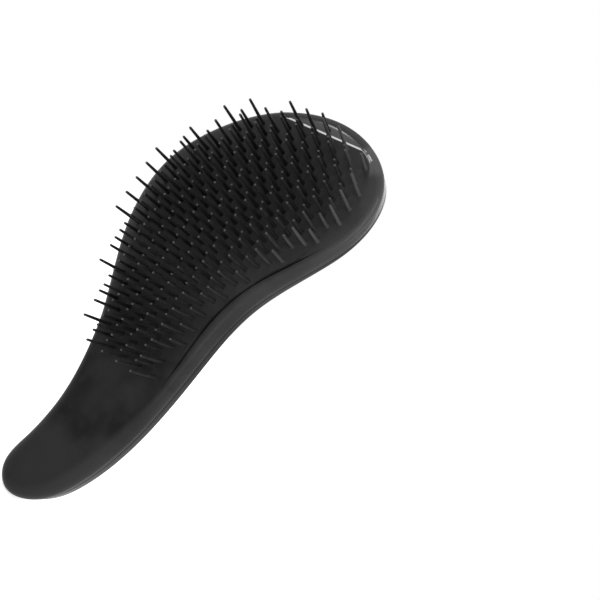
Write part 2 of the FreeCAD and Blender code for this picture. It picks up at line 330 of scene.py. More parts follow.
def well_end(inset):
    """The well's edge at the handle, moved inwards, from right to left: an arc, a straight run and an arc."""
    turn = np.linspace(0, 1, CORNER_ARC_STEPS + 1)[:, None]
    sides = FINE_OUTWARD[WELL_CORNERS]
    right = sides[0] * (1 - turn) - LEAN * turn
    left = -LEAN * (1 - turn) + sides[1] * turn
    centres = WELL_PATH[WELL_CORNERS]
    arcs = [centre + (PLATE_CORNER - inset) * unit(way) for centre, way in zip(centres, (right, left))]
    run = np.linspace(0, 1, ACROSS_STEPS - 2 * len(turn) + 3)[1:-1, None]
    straight = arcs[0][-1] * (1 - run) + arcs[1][0] * run
    return np.concatenate([arcs[0], straight, arcs[1]])


def rows_across(right, left, share):
    """Rows straight across from right edge to left edge, with points at shares of the way."""
    return right[:, None] * (1 - share[:, None]) + left[:, None] * share[:, None]


def strung(right, left, end, at_start):
    """Rows straight across from right edge to left edge; towards one end they bend into the end's curve."""
    run = run_along(end)
    rows = rows_across(right, left, run / run[-1])
    near = np.linspace(0, 1, len(right))[:, None, None] ** BEND_POWER
    near = near[::-1] if at_start else near
    return rows + near * (end - rows[0 if at_start else -1])


def quads(grid, closed):
    """Corner numbers of the quads of a grid of points; a closed grid joins its last column to its first."""
    index = np.arange(grid.shape[0] * grid.shape[1]).reshape(grid.shape[:2])
    if closed:
        index = np.concatenate([index, index[:, :1]], 1)
    return np.stack([index[:-1, :-1], index[:-1, 1:], index[1:, 1:], index[1:, :-1]], -1).reshape(-1, 4)


def in_scene(name, data):
    """A new object in the scene."""
    thing = bpy.data.objects.new(name, data)
    bpy.context.scene.collection.objects.link(thing)
    return thing


def new_piece(name, patches, material, node, marks):
    """One smooth mesh from grids of points in millimetres, in place of a CAD node.

    Points that two grids share are merged, which also closes the poles, and the faces are turned outwards.
    Each mark is a value at every point, in arrays in the order of the grids.
    """
    starts = np.cumsum([0] + [grid.shape[0] * grid.shape[1] for grid, _ in patches])
    points = np.concatenate([grid.reshape(-1, 3) for grid, _ in patches]) * MM
    faces = np.concatenate([quads(grid, closed) + start for (grid, closed), start in zip(patches, starts)])
    mesh = bpy.data.meshes.new(name)
    mesh.from_pydata(points.tolist(), [], faces.tolist())
    for mark, arrays in marks.items():
        values = np.concatenate([np.ravel(array) for array in arrays])
        mesh.attributes.new(mark, "FLOAT", "POINT").data.foreach_set("value", values.astype(np.float32))
    work = bmesh.new()
    work.from_mesh(mesh)
    bmesh.ops.remove_doubles(work, verts=work.verts, dist=MERGE_DISTANCE)
    bmesh.ops.dissolve_degenerate(work, edges=work.edges, dist=SHORTEST_EDGE)
    bmesh.ops.recalc_face_normals(work, faces=work.faces)
    work.to_mesh(mesh)
    work.free()
    mesh.shade_smooth()
    mesh.materials.append(material)
    piece = in_scene(name, mesh)
    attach(piece, "root")
    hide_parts(node)


class Nodes:
    """A short way to write the nodes of a finish."""

    def __init__(self, tree):
        self.tree = tree

    def feed(self, node, given):
        """Gives some inputs of a node an output to follow, or a plain number or colour."""
        for socket, value in given.items():
            if isinstance(value, bpy.types.NodeSocket):
                self.tree.links.new(value, node.inputs[socket])
            else:
                node.inputs[socket].default_value = value

    def add(self, kind, given=None, **settings):
        """A new node with its settings and what its inputs are given."""
        node = self.tree.nodes.new(kind)
        for key, value in settings.items():
            setattr(node, key, value)
        self.feed(node, given or {})
        return node

    def place(self):
        """Where a point lies in its piece."""
        return self.add("ShaderNodeTexCoord").outputs["Object"]

    def mark(self, name):
        """The value of a mark at a point."""
        return self.add("ShaderNodeAttribute", attribute_name=name).outputs["Fac"]

    def math(self, operation, a, b):
        """Two values joined by an operation."""
        return self.add("ShaderNodeMath", {0: a, 1: b}, operation=operation).outputs[0]

    def noise(self, place, scale, detail):
        """Soft noise around one half."""
        given = {"Vector": place, "Scale": scale, "Detail": detail}
        return self.add("ShaderNodeTexNoise", given).outputs["Fac"]

    def ramp(self, value, low, high, to_low=0.0, to_high=1.0):
        """A value eased from one number to another as the given value goes from low to high."""
        given = {"Value": value, "From Min": low, "From Max": high, "To Min": to_low, "To Max": to_high}
        return self.add("ShaderNodeMapRange", given, interpolation_type="SMOOTHSTEP").outputs["Result"]

    def mix(self, factor, a, b):
        """Two colours mixed. The node's colour sockets go by number, because their names repeat."""
        return self.add("ShaderNodeMix", {0: factor, 6: a, 7: b}, data_type="RGBA").outputs[2]

    def bump(self, height, strength):
        """A normal that follows heights, in millimetres."""
        given = {"Height": height, "Strength": strength, "Distance": MM}
        return self.add("ShaderNodeBump", given).outputs["Normal"]


def grey(level):
    """A grey of one level."""
    return (level, level, level, 1)


# Colours of the plastics and of the print.
DARK_BLACK = grey(0.010)
PALE_BLACK = grey(0.023)
MOTTLE_BLACK = grey(0.025)
# Painted light: the pale grey that the front's plastics are painted towards where light and sheen fall.
PAINTED_LIGHT_GREY = grey(0.052)
DARK_PIN = grey(0.011)
PALE_PIN = grey(0.017)
# Painted light: the grey of the outer pins of the head, painted as if lit from the side.
PAINTED_LIT_PIN = grey(0.048)
# Painted highlight: the grey of the dots of light on the pins' tips.
PAINTED_TIP_HIGHLIGHT = grey(0.060)
BARE_COVER = grey(0.012)
DARK_PURPLE = (0.170, 0.042, 0.183, 1)
PALE_PURPLE = (0.265, 0.067, 0.280, 1)
MOTTLE_PURPLE = (0.130, 0.032, 0.140, 1)
DARK_INK = (0.010, 0.0045, 0.0085, 1)
PALE_INK = (0.014, 0.0040, 0.0120, 1)

# Values of the skin's noise between which tones and roughness change.
TONE_SPREAD = (0.35, 0.65)
GLOSS_SPREAD = (0.3, 0.7)

# The sheen of polish and of lacquer, and the soft, ragged edge of a stripe in millimetres.
POLISH_ROUGHNESS = 0.06
POLISH_IOR = 1.65
LACQUER_COAT = 0.06
LACQUER_ROUGHNESS = 0.04
STRIPE_EDGE = (-0.25, 0.02)
RAGGEDNESS = 0.25


def moulded_skin():
    """What all the plastics share: fine mottling, broad patches, and a skin of slow waves with fine grain."""
    group = bpy.data.node_groups.new("moulded_skin", "ShaderNodeTree")
    group.interface.new_socket("Place", in_out="INPUT", socket_type="NodeSocketVector")
    for name in ("Wave Scale", "Grain"):
        group.interface.new_socket(name, in_out="INPUT", socket_type="NodeSocketFloat")
    for name in ("Mottle", "Patch", "Height"):
        group.interface.new_socket(name, in_out="OUTPUT", socket_type="NodeSocketFloat")
    n = Nodes(group)
    given = n.add("NodeGroupInput").outputs
    place = given["Place"]
    grain = n.math("MULTIPLY", n.noise(place, scale=2600.0, detail=2.0), given["Grain"])
    waves = n.noise(place, scale=given["Wave Scale"], detail=2.0)
    n.add("NodeGroupOutput", {
        "Mottle": n.noise(place, scale=260.0, detail=3.0),
        "Patch": n.noise(place, scale=45.0, detail=2.0),
        "Height": n.math("ADD", waves, grain),
    })
    return group


MOULDED_SKIN = moulded_skin()


def skinned(name, wave_scale, grain, bump, specular, roughness):
    """A new finish with the moulded skin on its normal, and roughness between two values by its patches.

    It comes with its nodes, its shader and the skin's outputs.
    """
    material = bpy.data.materials.new(name)
    material.use_nodes = True
    n = Nodes(material.node_tree)
    shader = material.node_tree.nodes["Principled BSDF"]
    given = {"Place": n.place(), "Wave Scale": wave_scale, "Grain": grain}
    skin = n.add("ShaderNodeGroup", given, node_tree=MOULDED_SKIN).outputs
    n.feed(shader, {
        "Normal": n.bump(skin["Height"], bump),
        "Roughness": n.ramp(skin["Patch"], *GLOSS_SPREAD, *roughness),
        "Specular IOR Level": specular,
    })
    return material, n, shader, skin


def black_plastic(name, wave_scale, bump):
    """Moulded black plastic: near blacks in broad patches and fine mottles.

    One mark on each point says how far it is painted paler as painted light and painted sheen, the other how
    far it is polished.
    """
    material, n, shader, skin = skinned(
        name, wave_scale, grain=0.02, bump=bump, specular=0.03, roughness=(0.20, 0.30))
    patchy = n.mix(n.ramp(skin["Patch"], *TONE_SPREAD), DARK_BLACK, PALE_BLACK)
    mottled = n.mix(n.ramp(skin["Mottle"], low=0.4, high=0.75, to_high=0.30), patchy, MOTTLE_BLACK)
    n.feed(shader, {
        # Painted light: the mark paints the black towards a pale grey as light and sheen.
        "Base Color": n.mix(n.mark("painted_light"), mottled, PAINTED_LIGHT_GREY),
        "Coat Weight": n.mark("polished"),
        "Coat Roughness": POLISH_ROUGHNESS,
        "Coat IOR": POLISH_IOR,
    })
    return material


def bristle_plastic():
    """Smooth black plastic, with a painted highlight of dull grey at the tips and painted light on the outer
    pins of one side.

    One mark on each point says how near the tip it is, the other how far its pin is painted lit.
    """
    material, n, shader, skin = skinned(
        "bristle_plastic", wave_scale=200.0, grain=0.02, bump=0.02, specular=0.08, roughness=(0.38, 0.50))
    black = n.mix(n.ramp(skin["Mottle"], low=0.35, high=0.7), DARK_PIN, PALE_PIN)
    # Painted light: the outer pins are painted grey as if lit from the side.
    shaft = n.mix(n.mark("painted_light"), black, PAINTED_LIT_PIN)
    # Painted highlight: the tips are painted grey as dots of light.
    tip_highlight = n.ramp(n.mark("tip"), low=0.6, high=1.0)
    n.feed(shader, {"Base Color": n.mix(tip_highlight, shaft, PAINTED_TIP_HIGHLIGHT)})
    return material


def zebra_print():
    """Purple stripes on black under clear lacquer, both in clouds and mottles of tone.

    One mark on each point says how deep it lies in a stripe, the other whether it is lacquered.
    """
    material, n, shader, skin = skinned(
        "zebra_print", wave_scale=40.0, grain=0.004, bump=0.03, specular=0.03, roughness=(0.14, 0.20))
    place = n.place()
    ragged = n.math("SUBTRACT", n.noise(place, scale=700.0, detail=2.0), 0.5)
    depth = n.math("ADD", n.mark("stripe_depth"), n.math("MULTIPLY", ragged, RAGGEDNESS))
    cloud = n.ramp(n.noise(place, scale=34.0, detail=2.0), low=0.3, high=0.7)
    purple = n.mix(cloud, DARK_PURPLE, PALE_PURPLE)
    purple = n.mix(n.ramp(skin["Mottle"], low=0.35, high=0.75, to_high=0.25), purple, MOTTLE_PURPLE)
    ink = n.mix(n.ramp(skin["Patch"], *TONE_SPREAD), DARK_INK, PALE_INK)
    printed = n.mix(n.ramp(depth, *STRIPE_EDGE), ink, purple)
    lacquer = n.mark("lacquer")
    n.feed(shader, {
        "Base Color": n.mix(lacquer, BARE_COVER, printed),
        "Coat Weight": n.math("MULTIPLY", lacquer, LACQUER_COAT),
        "Coat Roughness": LACQUER_ROUGHNESS,
    })
    return material


SHELL_PLASTIC = black_plastic("shell_plastic", wave_scale=60.0, bump=0.05)
PLATE_PLASTIC = black_plastic("plate_plastic", wave_scale=55.0, bump=0.10)
BRISTLE_PLASTIC = bristle_plastic()
ZEBRA_PRINT = zebra_print()


# Round the head rim and plate run on into one another in one convex edge, which fades near the well's
# corners, so that plate and handle run on flush. Only along the lower left side of the head the plate has a
# bevelled edge and an open seam beside it. Each of these shares has a value at every station of the head.
HEAD_RUN = STATIONS[IN_HEAD]
ON_LEFT = np.arange(len(IN_HEAD)) > HEAD_STEPS
HEIGHT_SHARES = (OUTLINE[IN_HEAD, 1] + GRIP_HEIGHT) / LENGTH
FADE = eased(np.minimum(HEAD_RUN - RIGHT_CORNER, LEFT_CORNER - HEAD_RUN) / FADE_RUN)
GROOVED = ON_LEFT * eased((SEAM_TOP_SHARE - HEIGHT_SHARES) / SEAM_FADE_SHARE)
OPEN = GROOVED * eased((LEFT_CORNER - HEAD_RUN) / SEAM_END_RUN)
CONVEX = FADE * (1 - GROOVED)
WAIST = eased_between(HEIGHT_SHARES, WAIST_SHARES[0], WAIST_SHARES[1])
WAIST *= ON_LEFT * eased_between(HEIGHT_SHARES, WAIST_SHARES[3], WAIST_SHARES[2])
SEAM_INSET = RIM_WIDTH + WAIST_EXTRA * WAIST
HEAD_SEAM = OUTLINE[IN_HEAD] - OUTWARD[IN_HEAD] * SEAM_INSET[:, None]
PAST = past_toe_edge(HEAD_SEAM - OUTWARD[IN_HEAD] * LEAST_EDGE)
AT_TOE = eased(1 + PAST / TOE_END_RUN)
ON_TOE = np.clip(PAST / TOE_BEVEL_WIDTH, 0, 1)

# The convex edge at each station of the head: how far the plate falls there, over what width, and the rim's
# height and slope where it meets the plate.
SEAM_RISE = plate_rise(HEAD_SEAM)
EDGE_DROP = np.maximum(EDGE_DROP_SHARE * SEAM_RISE, TOE_EDGE_DROP)
EDGE_DROP += AT_TOE * (TOE_EDGE_DROP - EDGE_DROP)
EDGE_WIDTH = np.maximum(2 * EDGE_DROP / EDGE_SLOPE, LEAST_EDGE)
EDGE_WIDTH += AT_TOE * (LEAST_EDGE - EDGE_WIDTH)
EDGE_LIFT = CONVEX * (SEAM_RISE - EDGE_DROP)
EDGE_TILT = CONVEX * (EDGE_SLOPE + TOE_SLOPE * ON_TOE)

# The well's ring goes on past the head with the points of its end at the handle, where these shares are zero.
AT_END = np.zeros(ACROSS_STEPS - 1)


def well_ring(inset):
    """The whole edge of the well, moved inwards by a distance for each point.

    It goes along the rim's inside round the head from right to left, then back along the end at the handle.
    """
    head = OUTLINE[IN_HEAD] - OUTWARD[IN_HEAD] * (SEAM_INSET + inset[: len(IN_HEAD)])[:, None]
    straight = well_end(0.0)[-2:0:-1]
    inwards = straight - well_end(1.0)[-2:0:-1]
    return np.concatenate([head, straight - inwards * inset[len(IN_HEAD):, None]])


def both_sides(ring, steps):
    """The first points of a ring on its right side and their partners on its left side."""
    index = np.arange(steps + 1)
    return ring[index], ring[-index]


def up_the_head(plan):
    """A share from 0 on the handle to 1 in the upper half of the head, by which the front is painted paler as
    painted light.
    """
    return eased((plan @ LEAN - END_LEVEL + PAINTED_LIGHT_START) / PAINTED_LIGHT_RUN)


def corner_polish(plan):
    """How far points of the plan are polished: those near the head's upper left corner."""
    away = np.linalg.norm(plan - plan_points(CORNER_SHARES), axis=-1)
    return CORNER_POLISH * eased((CORNER_REACH - away) / CORNER_FADE)


def glossy_side():
    """A share at each station of the outline, by which the rim's rounding is polished.

    It is one where the upper part of the head faces left.
    """
    facing = eased_between(-OUTWARD[IN_HEAD, 0], *GLOSS_FACING)
    share = np.zeros(len(OUTLINE))
    share[IN_HEAD] = ON_LEFT * eased_between(HEIGHT_SHARES, *GLOSS_SHARES) * facing
    return share


def joint_profile():
    """Insets and heights of the joint edge: a flat from inside, then a quarter circle up to the wall."""
    insets = [JOINT_DEPTH, *(JOINT_ROUND - JOINT_ROUND * np.sin(SMALL_QUARTER))]
    heights = [JOINT_GAP, *(JOINT_ROUND - JOINT_ROUND * np.cos(SMALL_QUARTER))]
    return insets, heights


def rim_curve():
    """The rim's rounding at each station: a cubic curve, upright at the wall, then sloped as the edge is."""
    lift = np.zeros(len(OUTLINE))
    tilt = np.zeros(len(OUTLINE))
    on_handle = eased(np.maximum(RIGHT_CORNER - STATIONS, STATIONS - LEFT_CORNER) / HANDLE_ROUND_RUN)
    width = RIM_ROUND + (HANDLE_ROUND - RIM_ROUND) * on_handle
    soft = np.where(STATIONS > LEFT_CORNER, 1, on_handle)
    soft[IN_HEAD] = np.maximum(GROOVED, soft[IN_HEAD])
    lift[IN_HEAD] = EDGE_LIFT
    tilt[IN_HEAD] = EDGE_TILT
    width[IN_HEAD] = SEAM_INSET - RIM_FLAT
    foot = FRAME_HEIGHT - RIM_ROUND - ROUND_DROP * soft
    top = FRAME_HEIGHT + lift - RIM_FLAT * tilt
    corner = top - width * tilt
    t = np.linspace(0, 1, ROUND_STEPS + 1)[:, None]
    s = 1 - t
    insets = 3 * s * t**2 * (1 - CIRCLE_SHARE) * width + t**3 * width
    rising = 3 * s**2 * t * (foot + CIRCLE_SHARE * (corner - foot))
    levels = s**3 * foot + rising + 3 * s * t**2 * (top + CIRCLE_SHARE * (corner - top)) + t**3 * top
    return insets, levels


def frame_piece():
    """The front shell: joint edge, wall and rounding carried round the outline, handle's face and well.

    Its rim's rounding is painted paler as painted sheen, most low on the rounding, and its face has painted
    light more and more towards the head.
    """
    insets, levels = joint_profile()
    rim_insets, rim_levels = rim_curve()
    for share in SHELL_WALL_SHARES:
        insets.append(0.0)
        levels.append(JOINT_ROUND + (rim_levels[0] - JOINT_ROUND) * share)
    below_rim = np.zeros(len(insets))
    shell = carried([*insets, *rim_insets], [*levels, *rim_levels])
    rim = inset_plan(rim_insets[-1])
    right, left = both_sides(rim, HANDLE_STEPS)
    end = np.concatenate([right[-1:], well_end(-LEAST_ROUND), left[-1:]])
    handle = lifted(strung(right, left, end, at_start=False), FRAME_HEIGHT)
    open_round = (RIM_FLAT - LEAST_ROUND) * FADE * (1 - CONVEX)
    inner = np.concatenate([LEAST_ROUND + open_round, AT_END + LEAST_ROUND])
    lift = np.concatenate([EDGE_LIFT, AT_END])
    well = []
    for turn in SMALL_QUARTER:
        plan = well_ring(-inner * (1 - math.sin(turn)))
        well.append(lifted(plan, FRAME_HEIGHT + lift - inner * (1 - math.cos(turn))))
    well.append(lifted(plan, SEAT_LEVEL))
    strip = np.stack([lifted(rim[IN_HEAD], rim_levels[-1][IN_HEAD]), well[0][: len(IN_HEAD)]])
    patches = [(shell, True), (handle, False), (strip, False), (np.stack(well), True)]
    # Painted light: the face paler towards the head, and painted sheen up the rim's rounding, less beside the
    # groove.
    upper = [up_the_head(grid[..., [0, 2]]) for grid, _ in patches]
    painted_light = [FACE_PAINTED_LIGHT * share for share in upper]
    up_the_rim = np.concatenate([below_rim, np.linspace(0, 1, len(rim_insets))])[:, None]
    rim_painted_sheen = np.interp(up_the_rim, *RIM_PAINTED_SHEEN) * (HANDLE_PAINTED_SHEEN + (1 - HANDLE_PAINTED_SHEEN) * upper[0])
    rim_painted_sheen[:, IN_HEAD] *= 1 - GROOVE_SHEEN_CUT * GROOVED
    painted_light[0] = painted_light[0] * up_the_rim**2 + rim_painted_sheen
    polished = [corner_polish(grid[..., [0, 2]]) for grid, _ in patches]
    rim_gloss = glossy_side() * np.interp(up_the_rim, *RIM_GLOSS)
    polished[0] = np.maximum(polished[0] * up_the_rim, rim_gloss)
    marks = {"painted_light": painted_light, "polished": polished}
    new_piece("front_shell", patches, SHELL_PLASTIC, "body_frame", marks)


# The bevel's profile, as shares inwards and upwards: first upright, then at about 45 degrees, then level.
BEVEL_SLOPE = np.radians(np.interp(np.linspace(0, 1, BEVEL_STEPS), *BEVEL_TURNS))
BEVEL_IN = np.concatenate([[0], np.cumsum(np.cos(BEVEL_SLOPE))]) / np.cos(BEVEL_SLOPE).sum()
BEVEL_UP = np.concatenate([[0], np.cumsum(np.sin(BEVEL_SLOPE))]) / np.sin(BEVEL_SLOPE).sum()


def plate_edge():
    """The plate's edge at each point of the well's ring: the seam's gap, the edge's width and its fall.

    They go from those of the bevelled edge to those of the convex edge by the head's share of the latter.
    """
    gap = CLOSED_GAP + OPEN_SEAM * OPEN
    width = LEAST_ROUND + BEVEL_WIDTH * FADE * (1 - OPEN_NARROWING * OPEN)
    fall = FADE * (SEAM_RISE + BEVEL_FOOT) + LEAST_ROUND
    width += CONVEX * (EDGE_WIDTH - width)
    fall += CONVEX * (EDGE_DROP - fall)
    least = AT_END + LEAST_ROUND
    return [np.concatenate(pair) for pair in ((gap, AT_END + CLOSED_GAP), (width, least), (fall, least))]


def plate_level(plan):
    """Height of the plate's face at points of the plan, less its fall towards the nearest edge."""
    gap, width, fall = plate_edge()
    nearest, away = nearest_of(well_ring(gap), plan)
    near = np.maximum(1 - away / width[nearest], 0)
    return FRAME_HEIGHT + plate_rise(plan) - fall[nearest] * near**2


def toe_polish(past):
    """The plate's polish by bevel widths past the toe's edge: full on the bevel, then slight."""
    on_bevel = np.clip(BEVEL_POLISH_RISE * np.minimum(past, 1 - past), 0, 1)
    return np.maximum(on_bevel, TOE_POLISH * np.clip(past, 0, 1))


def edge_polish():
    """How far the plate's edge is polished at each station of the head: by the toe and at its corner."""
    inside = np.minimum(POLISH_START - HEAD_SEAM[:, 0], HEAD_SEAM[:, 0] - POLISH_END)
    return np.maximum(EDGE_POLISH * ON_TOE * eased(inside / POLISH_RUN), corner_polish(HEAD_SEAM))


def plate_piece():
    """The bristle plate: side, bevelled or convex edge and crowned face; the edge fades towards the handle.

    It has painted light towards the head's end and painted sheen all over the toe, but none on the edge
    beside the open seam.
    """
    gap, width, fall = plate_edge()
    convex = np.concatenate([CONVEX, AT_END])
    rings = [lifted(well_ring(gap), SEAT_LEVEL)]
    for share, inwards, upwards in zip(np.linspace(0, 1, len(BEVEL_IN)), BEVEL_IN, BEVEL_UP):
        plan = well_ring(gap + width * (inwards + convex * (share - inwards)))
        below = 1 - upwards + convex * ((1 - share) ** 2 - 1 + upwards)
        rings.append(lifted(plan, FRAME_HEIGHT + plate_rise(plan) - fall * below))
    rings = np.stack(rings)
    right = plan[: HEAD_STEPS + 1]
    left = plan[2 * HEAD_STEPS:HEAD_STEPS - 1:-1]
    end = np.concatenate([plan[:1], plan[:2 * HEAD_STEPS - 1:-1]])
    face = strung(right, left, end, at_start=True)
    polished = []
    painted_light = []
    # Painted light towards the head's end and painted sheen over the toe, none on the edge beside the open
    # seam.
    for plan in (rings[..., [0, 2]], face):
        past = past_toe_edge(plan) / TOE_BEVEL_WIDTH
        polished.append(toe_polish(past))
        painted_light.append(np.maximum(FACE_PAINTED_LIGHT * up_the_head(plan), np.clip(TOE_PAINTED_SHEEN_RISE * (past - 1), 0, 1)))
    polished[0][:EDGE_RINGS, : len(IN_HEAD)] = edge_polish()
    painted_light[0][:EDGE_RINGS, : len(IN_HEAD)] *= 1 - GROOVED
    marks = {"polished": polished, "painted_light": painted_light}
    patches = [(rings, True), (lifted(face, FRAME_HEIGHT + plate_rise(face)), False)]
    new_piece("bristle_plate_face", patches, PLATE_PLASTIC, "bristle_plate", marks)


def cover_piece():
    """The printed cover: joint edge, wall and round edge carried round the outline, then the crown across it.

    The round edge is an arc that touches the wall and the crown, whose slope changes along the outline. The
    print starts a little way round it, and the lacquer where the wall ends.
    """
    at_edge = crown_level(OUTLINE)
    slope = (crown_level(inset_plan(SLOPE_STEP)) - at_edge) / SLOPE_STEP
    centre = at_edge + slope * COVER_ROUND + COVER_ROUND * np.sqrt(1 + slope**2)
    sweep = np.arctan2(1.0, slope)
    insets, heights = joint_profile()
    levels = [-height for height in heights]
    for share in COVER_WALL_SHARES:
        insets.append(0.0)
        levels.append(share * centre - (1 - share) * JOINT_ROUND)
    wall_rings = len(insets)
    for share in np.linspace(0, 1, ROUND_STEPS + 1):
        insets.append(COVER_ROUND * (1 - np.cos(share * sweep)))
        levels.append(centre - COVER_ROUND * np.sin(share * sweep))
    shell = carried(insets, levels)
    sides = both_sides(inset_plan(insets[-1]), HANDLE_STEPS + HEAD_STEPS)
    crown = rows_across(*sides, np.linspace(0, 1, PRINT_STEPS + 1))
    shell_depth = stripe_depth(shell[..., [0, 2]])
    shell_depth[:wall_rings + BARE_ROUND_STEPS] = BARE_DEPTH
    shell_lacquer = np.broadcast_to((np.arange(len(insets)) > wall_rings)[:, None], shell_depth.shape)
    marks = {
        "stripe_depth": [shell_depth, stripe_depth(crown)],
        "lacquer": [shell_lacquer, np.ones(crown.shape[:2])],
    }
    patches = [(shell, True), (lifted(crown, crown_level(crown)), False)]
    new_piece("printed_back", patches, ZEBRA_PRINT, "back_cover", marks)


def pin_ends(node, stagger):
    """Middles of the root and the tip of each bristle of a CAD node.

    Its corners are sorted by the crossing of bristle rows and columns that each stands nearest to.
    """
    corners = np.zeros(3 * len(NODES[node].data.vertices), np.float32)
    NODES[node].data.vertices.foreach_get("co", corners)
    corners = np.unique((corners.reshape(-1, 3) / MM).astype(float).round(CORNER_DECIMALS), axis=0)
    plan = corners[:, [0, 2]] - HEAD
    crossing = np.stack([plan @ LEAN / ROW_PITCH, plan @ ACROSS / BRISTLE_PITCH], 1) - stagger
    _, pin = np.unique(crossing.round(), axis=0, return_inverse=True)
    pin = pin.ravel()
    high = corners[:, 1] > corners[:, 1].mean()
    ends = []
    for part in (~high, high):
        count = np.bincount(pin[part])
        ends.append(np.stack([np.bincount(pin[part], corners[part, k]) / count for k in range(3)], 1))
    return ends


def outer_painted_light(plan):
    """How far the pins at points of the plan are painted lit: those near the outline on the head's upper
    left.
    """
    nearest, away = nearest_of(OUTLINE[IN_HEAD], plan)
    upper = eased_between(HEIGHT_SHARES[nearest], *OUTER_SHARES)
    return ON_LEFT[nearest] * upper * eased((OUTER_REACH - away) / OUTER_FADE)


def bristle_piece(name, node, stagger, seed):
    """Tapered pins with a small foot and a round tip: rings of a radius at a height along each pin's axis.

    Each pin leans a little and is a little shorter by chance, and starts on the plate's face.
    """
    roots, tips = pin_ends(node, stagger)
    draw = np.random.default_rng(seed)
    axes = tips - roots
    length = np.linalg.norm(axes, axis=1)[:, None]
    axes = unit(axes / length + draw.normal(0, PIN_LEAN, axes.shape))
    length = length - PIN_SHORTER - np.abs(draw.normal(0, PIN_UNEVENNESS, length.shape))
    sunk = (roots[:, 1] - plate_level(roots[:, [0, 2]]))[:, None] / axes[:, 1:2]
    roots = roots - axes * sunk
    length = length + sunk
    side = unit(np.cross(axes, (0.0, 0.0, 1.0)))
    other = np.cross(axes, side)
    around = np.linspace(0, math.tau, PIN_SIDES, endpoint=False)[None, :, None]
    circle = np.cos(around) * side[:, None] + np.sin(around) * other[:, None]
    foot = np.broadcast_to((0.0, FOOT_HEIGHT), (len(length), 2))
    height = np.concatenate([foot, length - TIP_DROPS], 1)
    rings = roots[:, None, None] + axes[:, None, None] * height[..., None, None]
    rings = rings + circle[:, None] * np.array(PIN_RADII)[None, :, None, None]
    patches = [(pin, True) for pin in rings]
    # The tip mark carries the painted highlight at the pins' tips.
    near_tip = np.broadcast_to(np.array(NEAR_TIP)[None, :, None], rings.shape[:3])
    # Painted light on the outer pins of the head's upper left.
    painted_light = np.broadcast_to(outer_painted_light(roots[:, [0, 2]])[:, None, None], rings.shape[:3])
    marks = {"tip": [near_tip], "painted_light": [painted_light]}
    new_piece(name, patches, BRISTLE_PLASTIC, node, marks)
